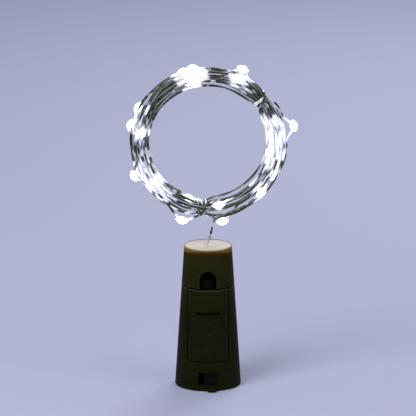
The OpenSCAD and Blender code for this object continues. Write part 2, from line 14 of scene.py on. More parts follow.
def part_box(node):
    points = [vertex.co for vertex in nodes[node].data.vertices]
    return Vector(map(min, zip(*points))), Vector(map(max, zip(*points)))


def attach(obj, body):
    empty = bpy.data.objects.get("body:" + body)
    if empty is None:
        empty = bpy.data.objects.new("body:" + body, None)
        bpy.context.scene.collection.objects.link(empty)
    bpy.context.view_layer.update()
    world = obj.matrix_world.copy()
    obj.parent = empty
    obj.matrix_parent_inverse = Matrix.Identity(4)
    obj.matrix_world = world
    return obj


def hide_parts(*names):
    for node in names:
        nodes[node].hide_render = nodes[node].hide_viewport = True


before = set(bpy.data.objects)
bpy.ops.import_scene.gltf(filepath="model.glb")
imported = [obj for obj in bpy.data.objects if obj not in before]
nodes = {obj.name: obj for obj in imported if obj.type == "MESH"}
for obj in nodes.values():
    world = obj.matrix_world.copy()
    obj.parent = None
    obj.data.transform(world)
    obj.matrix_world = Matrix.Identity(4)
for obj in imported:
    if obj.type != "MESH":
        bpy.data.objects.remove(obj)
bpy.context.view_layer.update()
scene = bpy.context.scene
MM = 0.001

# ---------------------------------------------------------------- camera
# Fitted to the cork's two end ellipses in the photograph
CAMERA_BACK = 1500 * MM
CAMERA_UP = 431 * MM
CAMERA_PITCH = math.radians(13.69)
CAMERA_NEAREST = 20 * MM
FOCAL_PX = 4271
PICTURE_PX = 416
SENSOR = 36

camera = bpy.data.objects.new("camera", bpy.data.cameras.new("camera"))
scene.collection.objects.link(camera)
camera.data.sensor_width = SENSOR
camera.data.lens = FOCAL_PX / PICTURE_PX * SENSOR
camera.data.clip_start = CAMERA_NEAREST
camera.location = (0, -CAMERA_BACK, CAMERA_UP)
camera.rotation_euler = (math.pi / 2 - CAMERA_PITCH, 0, 0)
scene.camera = camera

# ---------------------------------------------------------------- the string's route
# The winding as the CAD has it, in millimetres: layers beside each other along Y, which
# run by turns from the outer radius to the inner one and back, in steps of 15 degrees
HOOP_Z = 90                  # the hoop's middle
OUTER_R = 28
INNER_R = 21
MID_R = (OUTER_R + INNER_R) / 2
LAYERS = 4
LAYER_PITCH = 1.9
TURNS = 13.25
START_DEG = 278
STEPS = 24                   # in a turn
LAYER_TURNS = TURNS / LAYERS
CLIMB = 0.25                 # turns in which the string leaves a layer, and joins the next
TIE_DEG = (264, 38)          # where the two ties lie round the hoop
TIE_SQUEEZE = 0.35           # a tie draws the turns together by this share
TIE_REACH = 8                # and over so many degrees to each side
LEAD = [(0, 0, 51.25), (0, 0, 52.5), (0.25, -0.2, 53.6), (0.8, -0.7, 55.5),
    (1.25, -1.4, 57.5), (1.55, -2.1, 59.5), (1.75, -2.6, 60.9), (2.1, -2.8, 61.7)]
# Each light: its place in steps along the winding, how far its kink stands out of the
# turn, how far the kink steps aside to pass its neighbours, the kink's half width, and
# how far round it the strands shine
LIGHTS = [(12.3, 1.8, 0, 5, 5), (26.6, 0.3, 0, 4, 5), (43, 4.2, -1.6, 6, 8),
    (60.3, 0, 0, 4, 5), (78, 1.4, 0, 5, 8), (96.1, 1.6, 0, 4, 3), (112.9, 0, 0, 4, 4.5),
    (129.8, 0, 0, 4, 5), (142.3, 3.5, 0, 6, 5), (156.8, 0.2, 0, 5, 4.5),
    (171.6, 0, 0, 4, 2), (188.1, 0, 0, 4, 8), (204.2, 0, 0, 4, 5),
    (220.7, -1, 0, 5, 7), (238.2, 1.2, 0, 4, 2.5), (256.8, 5.8, 1.6, 6, 5),
    (273.7, 5, 1.6, 6, 5), (288.1, 5, 1.6, 6, 4.5), (303.7, 0.8, 0, 5, 5),
    (318.1, 3, 0, 3.2, 8)]
KINK_TIP = 0.06              # how round a kink's tip is, as a share of its half width
KINK_ASIDE = 1.6             # how much sooner a kink is aside than it is out
DROP_D = 2.6
DROP_LEN = 4.6
DROP_TAPER = 0.45            # a drop counts as thinner by this share at its ends
WIRE_D = 0.7                 # the pair of strands, as wide as it is on average
WIRE_CLEAR = 0.03
STRAND_D = 0.46              # thicker than the real strands, so that the band looks full
POINT_EVERY = 0.125          # steps of the winding between two points of the route
STRING_TAIL = 1.5            # steps that the string runs on past its last light
# Hand winding: waves of so many to a turn, each with its share, and how far they go
WAVES = ((0.29, 0.9), (0.83, 0.8), (1.37, 0.6), (2.3, 0.35), (3.7, 0.18))
WANDER_OUT = 0.45
WANDER_ASIDE = 0.3
OUT_SEED = 45
ASIDE_SEED = 8
WIDER_RIGHT = 0.08           # the band is wider at its right, and narrower at its left
# How turns that lie in each other are pushed apart
PUSH_ROUNDS = 36
PUSH_MOST = 0.35             # mm in a round
PUSH_EASING = 3              # easings in a round, and what each gives back of the push
PUSH_GAIN = 1.05
NEIGHBOURS = 10              # points this close along the string don't push each other
LEAST_WAY = 1e-6             # mm, so that nothing is divided by 0


def winding(i):
    """Radius and Y of the CAD's winding at steps i, and its angle in radians."""
    turn = i / STEPS
    layer = np.minimum(turn // LAYER_TURNS, LAYERS - 1)
    after = turn - layer * LAYER_TURNS
    before = LAYER_TURNS - after
    way = after / LAYER_TURNS
    way = np.where(layer % 2 == 0, way, 1 - way)
    level = layer - (LAYERS - 1) / 2
    level = level - np.where(layer > 0, np.clip(1 - after / CLIMB, 0, 1) / 2, 0)
    level = level + np.where(layer < LAYERS - 1, np.clip(1 - before / CLIMB, 0, 1) / 2, 0)
    return OUTER_R + (INNER_R - OUTER_R) * way, LAYER_PITCH * level, \
        np.radians(START_DEG + 360 * turn)


def wander(turn, size, seed):
    """A slow unevenness of hand winding that differs from turn to turn."""
    rng = np.random.default_rng(seed)
    out = np.zeros_like(turn)
    for per_turn, share in WAVES:
        out += share * np.sin(2 * np.pi * (per_turn * turn + rng.random()))
    return size * out


def way_from(step, i):
    """The way in mm round the hoop from a step to steps i."""
    return (i - step) * 2 * np.pi / STEPS * MID_R


def string_route():
    """The wound string's centreline in millimetres, and each point's place in steps."""
    i = np.arange(0, LIGHTS[-1][0] + STRING_TAIL, POINT_EVERY)
    radius, y, angle = winding(i)
    turn = i / STEPS
    radius = radius + wander(turn, WANDER_OUT, OUT_SEED)
    y = y + wander(turn, WANDER_ASIDE, ASIDE_SEED)
    squeeze = sum(np.exp(-(((np.degrees(angle) - tie + 180) % 360 - 180) / TIE_REACH) ** 2)
        for tie in TIE_DEG)
    gather = 1 - TIE_SQUEEZE * squeeze
    radius = MID_R + (radius - MID_R) * gather * (1 + WIDER_RIGHT * np.cos(angle))
    y = y * gather
    for step, out, aside, half, _ in LIGHTS:
        slope = np.sqrt((way_from(step, i) / half) ** 2 + KINK_TIP ** 2)
        peak = np.clip(1 + KINK_TIP - slope, 0, 1)
        radius = radius + out * peak
        y = y + aside * np.clip(KINK_ASIDE * peak, 0, 1)
    return np.stack([radius * np.cos(angle), y, HOOP_Z + radius * np.sin(angle)], 1), i


def reach_of(i):
    """How far other turns stay from each point: half the wire, or a light's drop."""
    reach = np.full(len(i), WIRE_D / 2 + WIRE_CLEAR)
    for step, *_ in LIGHTS:
        away = np.abs(way_from(step, i))
        drop = DROP_D / 2 * (1 - DROP_TAPER * (away / (DROP_LEN / 2)) ** 2)
        reach = np.where(away < DROP_LEN / 2, drop, reach)
    return reach


def ease(points, rounds, gain=1):
    """Draws all points but the first and the last towards their neighbours."""
    for _ in range(rounds):
        points[1:-1] = (points[:-2] + 2 * points[1:-1] + points[2:]) / 4 * gain
    return points


def settle(route, reach):
    """Pushes turns apart where they would lie in each other."""
    widest = reach.max()
    for _ in range(PUSH_ROUNDS):
        tree = KDTree(len(route))
        for k, point in enumerate(route):
            tree.insert(point, k)
        tree.balance()
        push = np.zeros_like(route)
        hits = 0
        for k, point in enumerate(route):
            for _, j, distance in tree.find_range(point, reach[k] + widest):
                need = reach[k] + reach[j]
                if j > k + NEIGHBOURS and distance < need:
                    apart = (route[k] - route[j]) / max(distance, LEAST_WAY)
                    push[k] += apart * (need - distance) / 2
                    push[j] -= apart * (need - distance) / 2
                    hits += 1
        if not hits:
            break
        push = np.clip(push, -PUSH_MOST, PUSH_MOST)
        route = route + ease(push, PUSH_EASING, PUSH_GAIN)
    return route


def length_along(points):
    """The way from a path's start to each of its points."""
    return np.concatenate([[0], np.cumsum(np.linalg.norm(np.diff(points, axis=0), axis=1))])


def resampled(points, spacing, rounds):
    """A path with a point every spacing mm and its corners eased."""
    along = length_along(points)
    at = np.linspace(0, along[-1], int(along[-1] / spacing) + 2)
    return ease(np.stack([np.interp(at, along, points[:, k]) for k in range(3)], 1), rounds)


route, steps = string_route()
route = settle(route, reach_of(steps))
centreline = np.concatenate([LEAD, route])
light_at = [int(np.argmin(np.abs(steps - light[0]))) for light in LIGHTS]
lead_length = length_along(np.array(LEAD))[-1]


# ---------------------------------------------------------------- small helpers


def linear(code):
    """An sRGB hex colour as the linear colour that a shader takes."""
    parts = [int(code[k:k + 2], 16) / 255 for k in (1, 3, 5)]
    return tuple(c / 12.92 if c <= 0.04045 else ((c + 0.055) / 1.055) ** 2.4
        for c in parts) + (1,)


def add(tree, kind, links=None, **settings):
    """Adds a node. settings are its properties; links gives its inputs, by name or
    number, as values, as sockets or as nodes, which stand for their first output."""
    node = tree.nodes.new(kind)
    for name, value in settings.items():
        setattr(node, name, value)
    for name, value in (links or {}).items():
        if isinstance(value, bpy.types.Node):
            value = value.outputs[0]
        if isinstance(value, bpy.types.NodeSocket):
            tree.links.new(value, node.inputs[name])
        else:
            node.inputs[name].default_value = value
    return node


def place(name, mesh):
    """A piece at the origin, with its place in its mesh."""
    piece = bpy.data.objects.new(name, mesh)
    scene.collection.objects.link(piece)
    return piece


# ---------------------------------------------------------------- materials
# A pattern's scale is 1 / (its size in mm * MM), and most of its noise lies between these
NOISE_LOW = 0.3
NOISE_HIGH = 0.7
NOISE_DETAIL = 3.0
ROUGH_DRIFT = 0.06           # a finish's roughness drifts so far to each side


def finish(name, tones, grain, roughness, bump=0.02, stretch=(1, 1, 1), **constants):
    """A material whose colour drifts between two tones over a grain of some mm, with its
    roughness, and whose surface rises and falls by bump mm. Returns it and its tree."""
    made = bpy.data.materials.new(name)
    made.use_nodes = True
    tree = made.node_tree
    shader = tree.nodes["Principled BSDF"]
    for key, value in constants.items():
        shader.inputs[key.replace("_", " ")].default_value = value
    drift = pattern(tree, grain, stretch)
    colour = add(tree, "ShaderNodeMix", {0: drift, 6: linear(tones[0]), 7: linear(tones[1])},
        data_type="RGBA").outputs[2]
    rough = add(tree, "ShaderNodeMapRange", {0: drift, 1: NOISE_LOW, 2: NOISE_HIGH,
        3: roughness - ROUGH_DRIFT, 4: roughness + ROUGH_DRIFT})
    tree.links.new(colour, shader.inputs["Base Color"])
    tree.links.new(rough.outputs[0], shader.inputs["Roughness"])
    raised(tree, drift, bump)
    return made, tree


def pattern(tree, size, stretch=(1, 1, 1)):
    """Noise of a size in mm in the piece's own space."""
    where = add(tree, "ShaderNodeTexCoord").outputs["Object"]
    drawn = add(tree, "ShaderNodeMapping", {"Vector": where, "Scale": stretch})
    return add(tree, "ShaderNodeTexNoise", {"Vector": drawn, "Scale": 1 / (size * MM),
        "Detail": NOISE_DETAIL}).outputs[0]


def place_along(tree, axis):
    """Where a point lies along an axis, in metres."""
    where = add(tree, "ShaderNodeTexCoord").outputs["Object"]
    return add(tree, "ShaderNodeSeparateXYZ", {0: where}).outputs[axis]


def off_from(tree, value, middle):
    """How far a value lies from a middle, to either side."""
    off = add(tree, "ShaderNodeMath", {0: value, 1: middle}, operation="SUBTRACT")
    return add(tree, "ShaderNodeMath", {0: off}, operation="ABSOLUTE")


def raised(tree, height, bump):
    """Makes the surface rise by bump mm where height is 1."""
    lift = add(tree, "ShaderNodeBump", {"Height": height, "Distance": bump * MM})
    tree.links.new(lift.outputs[0], tree.nodes["Principled BSDF"].inputs["Normal"])


def laid_over(tree, share, code):
    """Lays a colour over the finish's own, as far as share goes."""
    socket = tree.nodes["Principled BSDF"].inputs["Base Color"]
    under = socket.links[0].from_socket
    mixed = add(tree, "ShaderNodeMix", {0: share, 6: under, 7: linear(code)}, data_type="RGBA")
    tree.links.new(mixed.outputs[2], socket)


def laid_between(tree, value, start, end, shares, code):
    """Lays a colour over the finish's own, by a share that goes from the first to the
    second of shares while value goes from start to end. Returns the share."""
    share = add(tree, "ShaderNodeMapRange",
        {0: value, 1: start, 2: end, 3: shares[0], 4: shares[1]})
    laid_over(tree, share, code)
    return share


def glowing(tree, strength, code):
    """Lets the surface give light of a colour, as strong as a node says."""
    shader = tree.nodes["Principled BSDF"]
    tree.links.new(strength.outputs[0], shader.inputs["Emission Strength"])
    shader.inputs["Emission Color"].default_value = linear(code)


# The cork, in mm
FOOT_R = 12.0                # its outer face at its foot,
TOP_R = 8.65                 # and under the disc
LIP_TOP = 52
TAPER = (FOOT_R - TOP_R) / LIP_TOP
SEAM_Z = 37.1
SEAM_HIGHLIGHT = (0.12, 0.3)       # a painted highlight so far from the seam's middle, and no further
SHADE_DEPTHS = (0.3, 0.6)            # painted shade: the plastic is painted dark over these depths under its face, and painted light makes it paler over these heights
NOSE_PAINTED_LIGHT = (28, 46)         # and paler over these heights
# Painted light on the lip, from the string's light through it, laid on as colours:
LIP_FROM = 50                # the lip under the disc is warm from here up
LIP_SIDES = 1.3              # and from so much lower at its two sides,
LIP_HALF = 9                 # so far from its middle
EMBER = (0, 0.7)             # above that its colour turns to ember and then to amber,
AMBER = (0.8, 1.8)
LIP_RIM_HIGHLIGHT = (-0.45, -0.2)          # and to cream just under its top
FLECK = 0.7                  # sizes: flecks of cork bark,
PIT = 1.3                    # the cells that hold a pit each,
PIT_PATCH = 2.6              # and the patches that have pits


def bark(tree):
    """Lighter flecks and dark pits, as cork bark has them. Returns where the pits are."""
    laid_between(tree, pattern(tree, FLECK, (1, 1, 0.55)), 0.6, 0.7, (0, 0.4), "#38341A")
    where = add(tree, "ShaderNodeTexCoord").outputs["Object"]
    cells = add(tree, "ShaderNodeTexVoronoi", {"Vector": where, "Scale": 1 / (PIT * MM)})
    chosen = add(tree, "ShaderNodeMapRange",
        {0: pattern(tree, PIT_PATCH), 1: 0.5, 2: 0.58, 3: 0, 4: 1})
    pit = add(tree, "ShaderNodeMapRange", {0: cells, 1: 0.12, 2: 0.26, 3: 0.8, 4: 0})
    pit = add(tree, "ShaderNodeMath", {0: pit, 1: chosen}, operation="MULTIPLY")
    laid_over(tree, pit, "#0C0B05")
    return pit


def painted_lip_light(tree, up):
    """Painted light: the lip round the disc is thin and lets some of the string's light through,
    so it is painted from ember to amber and to a cream highlight at its rim."""
    aside = add(tree, "ShaderNodeMath", {0: place_along(tree, "X"), 1: LIP_HALF * MM},
        operation="DIVIDE")
    aside = add(tree, "ShaderNodeMath", {0: aside, 1: aside}, operation="MULTIPLY")
    lip = add(tree, "ShaderNodeMath", {0: aside, 1: LIP_SIDES * MM, 2: up},
        operation="MULTIPLY_ADD")
    # painted light: ember and amber glow, and a painted cream highlight at the rim
    for value, foot, (low, high), most, code in ((lip, LIP_FROM, EMBER, 0.95, "#402502"),
            (lip, LIP_FROM, AMBER, 1, "#776425"), (up, LIP_TOP, LIP_RIM_HIGHLIGHT, 0.9, "#B3A988")):
        laid_between(tree, value, (foot + low) * MM, (foot + high) * MM, (0, most), code)


def painted_shade_inside(tree, up):
    """Painted shade: the shells are painted plain and dark behind their outer face, so their
    recesses and inner faces look shaded.
    """
    where = add(tree, "ShaderNodeTexCoord").outputs["Object"]
    flat = add(tree, "ShaderNodeVectorMath", {0: where, 1: (1, 1, 0)}, operation="MULTIPLY")
    radius = add(tree, "ShaderNodeVectorMath", {0: flat}, operation="LENGTH").outputs["Value"]
    taper = add(tree, "ShaderNodeMath", {0: up, 1: TAPER}, operation="MULTIPLY")
    depth = add(tree, "ShaderNodeMath", {0: FOOT_R * MM, 1: radius}, operation="SUBTRACT")
    depth = add(tree, "ShaderNodeMath", {0: depth, 1: taper}, operation="SUBTRACT")
    # painted shade: near black where a face lies deeper than the outer cone
    laid_between(tree, depth, SHADE_DEPTHS[0] * MM, SHADE_DEPTHS[1] * MM, (0, 1), "#0A0A04")


def cork_plastic():
    """ABS moulded in dark cork brown: dull, with fine dark pits and lighter flecks like cork bark
    on the outer face only; painted light makes it a little paler up the nose and warm on the lip
    round the disc, painted shade darkens it behind its outer face, and a painted highlight lies
    along the seam's edge."""
    made, tree = finish("moulded ABS, cork brown", ("#111403", "#1A1C05"), grain=6,
        roughness=0.62, IOR=1.5, Specular_IOR_Level=0.05, stretch=(1, 1, 0.5))
    up = place_along(tree, "Z")
    # painted light from the string above: the nose is paler towards its top
    laid_between(tree, up, NOSE_PAINTED_LIGHT[0] * MM, NOSE_PAINTED_LIGHT[1] * MM, (0, 0.6), "#2A2C0A")
    pit = bark(tree)
    # painted light on the lip round the disc
    painted_lip_light(tree, up)
    # painted highlight along the seam's edge
    seam = off_from(tree, up, SEAM_Z * MM)
    laid_between(tree, seam, SEAM_HIGHLIGHT[0] * MM, SEAM_HIGHLIGHT[1] * MM, (0.55, 0), "#484A30")
    # painted shade in the recesses and on the shells' inner faces
    painted_shade_inside(tree, up)
    height = add(tree, "ShaderNodeMath", {0: pattern(tree, size=0.3), 1: pit},
        operation="SUBTRACT")
    raised(tree, height, bump=0.03)
    return made


def cream_plastic():
    """ABS moulded in cream: satin, a little cloudy, letting some light in."""
    made, tree = finish("moulded ABS, cream", ("#C8BFA6", "#C5B9BC"), grain=5,
        roughness=0.42, IOR=1.5, Subsurface_Weight=0.12, Subsurface_Scale=0.8 * MM)
    raised(tree, pattern(tree, size=0.4), bump=0.015)
    return made


def set_glue():
    """Hot-melt glue, set: milky and glossy, with soft flow marks."""
    return finish("hot-melt glue", ("#C6BFA8", "#D0C9B6"), grain=0.8, roughness=0.25,
        bump=0.06, IOR=1.48, Subsurface_Weight=0.25, Subsurface_Scale=0.5 * MM)[0]


def moulded(name, dark, light, roughness, shine=0.3):
    """Plain moulded plastic with a fine spark-eroded grain of 0.25 mm."""
    made, tree = finish(name, (dark, light), 3, roughness, IOR=1.5, Specular_IOR_Level=shine)
    raised(tree, pattern(tree, size=0.25), bump=0.02)
    return made


def plated(name, dark, light, roughness, stretch=(1, 1, 1)):
    """Plated or tinned metal with faint drawing lines 0.15 mm apart."""
    made, tree = finish(name, (dark, light), 2, roughness, Metallic=1.0)
    raised(tree, pattern(tree, 0.15, stretch), bump=0.005)
    return made


def cell_can():
    """Nickel-plated cell cans: bright and finely turned, with the dark sealing ring
    between the cap and the can of each cell."""
    made, tree = finish("nickel-plated cell can", ("#A6A7AB", "#C6C7CA"), grain=3,
        roughness=0.24, Metallic=1.0)
    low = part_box("button_cell_1")[0].z
    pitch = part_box("button_cell_2")[0].z - low
    up = add(tree, "ShaderNodeMath", {0: place_along(tree, "Z"), 1: low}, operation="SUBTRACT")
    up = add(tree, "ShaderNodeMath", {0: up, 1: pitch}, operation="MODULO")
    starts = add(tree, "ShaderNodeMapRange", {0: up, 1: 0.3 * MM, 2: 0.36 * MM, 3: 0, 4: 1})
    ends = add(tree, "ShaderNodeMapRange", {0: up, 1: 0.5 * MM, 2: 0.56 * MM, 3: 1, 4: 0})
    ring = add(tree, "ShaderNodeMath", {0: starts, 1: ends}, operation="MULTIPLY")
    laid_over(tree, ring, "#26262A")
    raised(tree, pattern(tree, 0.15, (0.2, 0.2, 1)), bump=0.004)
    return made


TRACKS = 6.25                # a wave texture draws about 3.2 bands in this many mm


def circuit_laminate():
    """Solder-masked fibreglass board: green gloss, lighter over its copper tracks, which
    lie 2 mm from middle to middle and lift the mask a little."""
    made, tree = finish("solder-masked board", ("#1E5A31", "#256B3B"), grain=1.5,
        roughness=0.3, IOR=1.5)
    where = add(tree, "ShaderNodeTexCoord").outputs["Object"]
    tracks = add(tree, "ShaderNodeTexWave", {"Vector": where, "Scale": 1 / (TRACKS * MM),
        "Distortion": 2.0, "Detail": 0.0}, bands_direction="Z").outputs["Fac"]
    tracks = laid_between(tree, tracks, 0.55, 0.62, (0, 0.8), "#3F9156")
    raised(tree, tracks, bump=0.03)
    return made


def phenolic_sheet():
    """Brown phenolic paper board: satin, with paper fibres 0.4 mm long."""
    return finish("phenolic sheet", ("#4A2F1A", "#63411F"), grain=0.4, roughness=0.45,
        stretch=(0.4, 2, 0.4))[0]


# The resistor's painted bands, by the place of their middle in mm, and where its legs start
BANDS = ((-1.1, "#6B3A1C"), (-0.5, "#1E1C1B"), (0.1, "#6B3A1C"), (1.1, "#B08A2E"))
BAND_EDGE = (0.14, 0.18)
LEGS_FROM = (1.72, 1.76)


def film_resistor():
    """A film resistor: glossy tan lacquer with painted bands, on tinned legs."""
    made, tree = finish("lacquered resistor", ("#BFA577", "#D0B88C"), grain=1.2,
        roughness=0.3)
    across = place_along(tree, "X")
    for middle, code in BANDS:
        off = off_from(tree, across, middle * MM)
        laid_between(tree, off, BAND_EDGE[0] * MM, BAND_EDGE[1] * MM, (1, 0), code)
    out = off_from(tree, across, 0)
    leg = laid_between(tree, out, LEGS_FROM[0] * MM, LEGS_FROM[1] * MM, (0, 1), "#B9BABC")
    tree.links.new(leg.outputs[0], tree.nodes["Principled BSDF"].inputs["Metallic"])
    return made


def insulation(name, dark, light):
    """Extruded PVC insulation: glossy, with faint die lines along the wire."""
    return finish(name, (dark, light), 1.2, 0.32, stretch=(1, 1, 0.2), IOR=1.53)[0]


# Along the wire, in mm: its painted reflection drifts 28 times in a metre, and its painted light
# lies in streaks
WIRE_REFLECTION_SPAN = 1000 / 28
WIRE_STREAK = 6.25
WIRE_GLOW = 0.9              # how bright the strands are close to a light
GLOW = 7.0                   # emission at a drop's middle, over its chip
GLOW_END = 2.5               # and at its two ends, where the resin is thin


def enamelled_wire():
    """Fine enamelled wire with a silvery look and painted light: a dark olive painted reflection
    of the room, and white with the lights' own light painted on near them, in streaks that end at
    different places on each turn. "along" is the way along the wire, and "lit" how near the
    lights are."""
    made, tree = finish("silvered enamelled wire", ("#5A5E48", "#8C9082"), grain=1.6,
        roughness=0.3, Metallic=1.0)
    along = add(tree, "ShaderNodeAttribute", attribute_name="along").outputs["Fac"]
    drift = add(tree, "ShaderNodeTexNoise", {"W": along, "Scale": 1 / (WIRE_REFLECTION_SPAN * MM),
        "Detail": 2.0}, noise_dimensions="1D")
    # painted reflection: dark olive where the wire mirrors the room
    laid_between(tree, drift, 0.42, 0.62, (0, 0.75), "#3A4226")
    streak = add(tree, "ShaderNodeTexNoise", {"W": along, "Scale": 1 / (WIRE_STREAK * MM),
        "Detail": 1.0}, noise_dimensions="1D")
    streak = add(tree, "ShaderNodeMapRange", {0: streak, 1: 0.36, 2: 0.64, 3: 0, 4: 0.7})
    near = add(tree, "ShaderNodeAttribute", attribute_name="lit").outputs["Fac"]
    white = add(tree, "ShaderNodeMath", {0: near, 1: streak}, operation="ADD")
    # painted light: white and glowing near the lights, in streaks
    white = laid_between(tree, white, 0.75, 1.35, (0, 1), "#F2F3FA")
    strength = add(tree, "ShaderNodeMath", {0: white, 1: WIRE_GLOW}, operation="MULTIPLY")
    glowing(tree, strength, "#E9ECFF")
    raised(tree, pattern(tree, size=0.12), bump=0.004)
    return made


def lit_resin():
    """Cast clear resin, lit from inside: white with light round the chip, a little less
    bright where the drop thins out along the wire, and glossy. "middle" is 1 at the chip
    and 0 at the drop's ends."""
    made, tree = finish("cast clear resin, lit", ("#EEF1FF", "#FFFFFF"), grain=0.7,
        roughness=0.12, bump=0.03, IOR=1.5)
    middle = add(tree, "ShaderNodeAttribute", attribute_name="middle").outputs["Fac"]
    strength = add(tree, "ShaderNodeMapRange", {0: middle, 1: 0, 2: 1, 3: GLOW_END, 4: GLOW})
    glowing(tree, strength, "#EAECFF")
    return made


def chip_phosphor():
    """The phosphor pad of a cool white light chip, lit, a grainy yellow-white."""
    return finish("phosphor pad, lit", ("#FFF3B0", "#FFF9D8"), grain=0.1, roughness=0.5,
        Emission_Color=linear("#F4F3FF"), Emission_Strength=12.0)[0]


wire_enamel = enamelled_wire()
cork = cork_plastic()
strip = plated("stamped nickel-plated strip", "#77787B", "#8F9093", 0.38, (0.15, 1, 1))
brass = plated("tinned brass", "#A8925C", "#C8B27A", 0.3)
black_abs = moulded("moulded ABS, black-brown", "#070704", "#0C0C07", 0.45, shine=0.08)
can = cell_can()
FINISHES = {"body_shell": cork, "base_cap": cork, "nose_shell": cork, "battery_door": cork,
    "board_clips": cork, "top_disc": cream_plastic(), "wire_seal": set_glue(),
    "battery_cradle": moulded("moulded ABS, dark brown", "#2A2621", "#38332C", 0.5),
    "cell_spring": plated("nickel-plated spring wire", "#9A9B9E", "#BFC0C3", 0.25),
    "spring_plate": strip, "positive_contact": strip, "switch_case": strip,
    "circuit_board": circuit_laminate(), "resistor": film_resistor(),
    "switch_base": phenolic_sheet(), "switch_pins": brass, "switch_wiper": brass,
    "switch_button": black_abs, "switch_lever": black_abs,
    "positive_wire": insulation("red PVC insulation", "#8E211B", "#A82C24"),
    "negative_wire": insulation("black PVC insulation", "#151517", "#1F1F22"),
    "string_tail": wire_enamel, "button_cell_1": can, "button_cell_2": can,
    "button_cell_3": can}
for node, made in FINISHES.items():
    nodes[node].data.materials.clear()
    nodes[node].data.materials.append(made)


# ---------------------------------------------------------------- geometry trees


def new_tree(name, sizes):
    """A modifier's tree, which takes a shape and its named sizes, and those inputs."""
    tree = bpy.data.node_groups.new(name, "GeometryNodeTree")
    for way in ("INPUT", "OUTPUT"):
        tree.interface.new_socket("Geometry", in_out=way, socket_type="NodeSocketGeometry")
    for size, value in sizes.items():
        socket = tree.interface.new_socket(size, in_out="INPUT", socket_type="NodeSocketFloat")
        socket.default_value = value
    return tree, add(tree, "NodeGroupInput").outputs


def end_tree(tree, shape, made):
    """Makes instances real, shades them smooth and gives them their material."""
    real = add(tree, "GeometryNodeRealizeInstances", {0: shape})
    smooth = add(tree, "GeometryNodeSetShadeSmooth", {0: real})
    coated = add(tree, "GeometryNodeSetMaterial", {0: smooth, 2: made})
    add(tree, "NodeGroupOutput", {0: coated})
    return tree


def grown(name, start, tree, sizes=None):
    """A piece: a start mesh, run through a tree and made a plain mesh."""
    seed = place(name + "_start", start)
    modifier = seed.modifiers.new("grow", "NODES")
    modifier.node_group = tree
    for item in tree.interface.items_tree:
        if item.in_out == "INPUT" and item.name in (sizes or {}):
            modifier[item.identifier] = sizes[item.name]
    graph = bpy.context.evaluated_depsgraph_get()
    mesh = bpy.data.meshes.new_from_object(seed.evaluated_get(graph))
    bpy.data.objects.remove(seed)
    return place(name, mesh)


def points_mesh(name, points, edges=(), **values):
    """A mesh of points in mm and their edges, with one attribute for each of values."""
    mesh = bpy.data.meshes.new(name)
    mesh.from_pydata([tuple(p) for p in np.asarray(points) * MM], list(edges), [])
    for key, value in values.items():
        value = np.asarray(value, float)
        kind, field = ("FLOAT", "value") if value.ndim == 1 else ("FLOAT_VECTOR", "vector")
        mesh.attributes.new(key, kind, "POINT").data.foreach_set(field, value.ravel())
    return mesh


# ---------------------------------------------------------------- the light string
STRAND_SIDES = 7
LEAD_LAY = 4.4               # the lead's two strands turn once round each other in this way
COIL_LAY = 26                # and the winding's
LIGHT_SHARE = 0.95           # how lit the strands are right at a light
OWN_REACH = 4.5              # a light's own wire is fully lit half so far to each side of it,
OWN_END = 1.5                # and no longer lit at this many times as far
LEAD_LIT = 0.25              # the lead glints a little all along
EASY_PAST_LEAD = 4           # points of the winding that are eased as the lead is
OVERLAP = 4                  # points that both halves of the path are made from
LEAD_SPACING = 0.3
LEAD_EASING = 10
COIL_SPACING = 0.6
COIL_EASING = 1


def strands_tree():
    """Two strands side by side along a path, turned round each other by "twist"."""
    tree, given = new_tree("two strands along a path", {"Strand diameter": STRAND_D * MM})
    path = add(tree, "GeometryNodeMeshToCurve", {0: given["Geometry"]})
    twist = add(tree, "GeometryNodeInputNamedAttribute", {0: "twist"}, data_type="FLOAT")
    path = add(tree, "GeometryNodeSetCurveTilt", {0: path, 2: twist})
    profile = add(tree, "GeometryNodeJoinGeometry")
    half = add(tree, "ShaderNodeMath", {0: given["Strand diameter"], 1: 0.5},
        operation="MULTIPLY")
    outline = add(tree, "GeometryNodeCurvePrimitiveCircle",
        {"Resolution": STRAND_SIDES, "Radius": half})
    for side in (1, -1):
        off = add(tree, "ShaderNodeMath", {0: half, 1: side}, operation="MULTIPLY")
        off = add(tree, "ShaderNodeCombineXYZ", {0: off})
        moved = add(tree, "GeometryNodeTransform", {0: outline, "Translation": off})
        tree.links.new(moved.outputs[0], profile.inputs[0])
    tubes = add(tree, "GeometryNodeCurveToMesh", {0: path, 1: profile, "Fill Caps": True})
    return end_tree(tree, tubes, wire_enamel)


def light_on(points):
    """How much of the lights' light reaches each point, from 0 to 1."""
    shade = np.ones(len(points))
    for at, (*_, reach) in zip(light_at, LIGHTS):
        far = np.linalg.norm(points - route[at], axis=1)
        shade *= 1 - LIGHT_SHARE * np.exp(-(far / reach) ** 2)
    return 1 - shade


def own_light(along):
    """How lit the string is by the lights on its own wire, a way along it in mm."""
    lit = np.where(along < lead_length, LEAD_LIT, 0)
    gone_at = length_along(centreline)[len(LEAD):]
    for at in light_at:
        off = np.abs(along - gone_at[at])
        lit = np.maximum(lit, np.clip(OWN_END - off / OWN_REACH, 0, 1))
    return lit


def paths_mesh(name, paths, own_lights=False, least_lit=0):
    """Paths of points in mm, each with its turns, as start meshes for the strands."""
    points = np.concatenate([path for path, _ in paths])
    edges, first = [], 0
    for path, _ in paths:
        edges += [(first + k, first + k + 1) for k in range(len(path) - 1)]
        first += len(path)
    along = np.concatenate([length_along(path) for path, _ in paths])
    twist = np.concatenate([turns for _, turns in paths]) * 2 * np.pi
    lit = np.maximum(light_on(points), least_lit)
    if own_lights:
        lit = np.maximum(lit, own_light(along))
    return points_mesh(name, points, edges, along=along * MM, twist=twist, lit=lit)


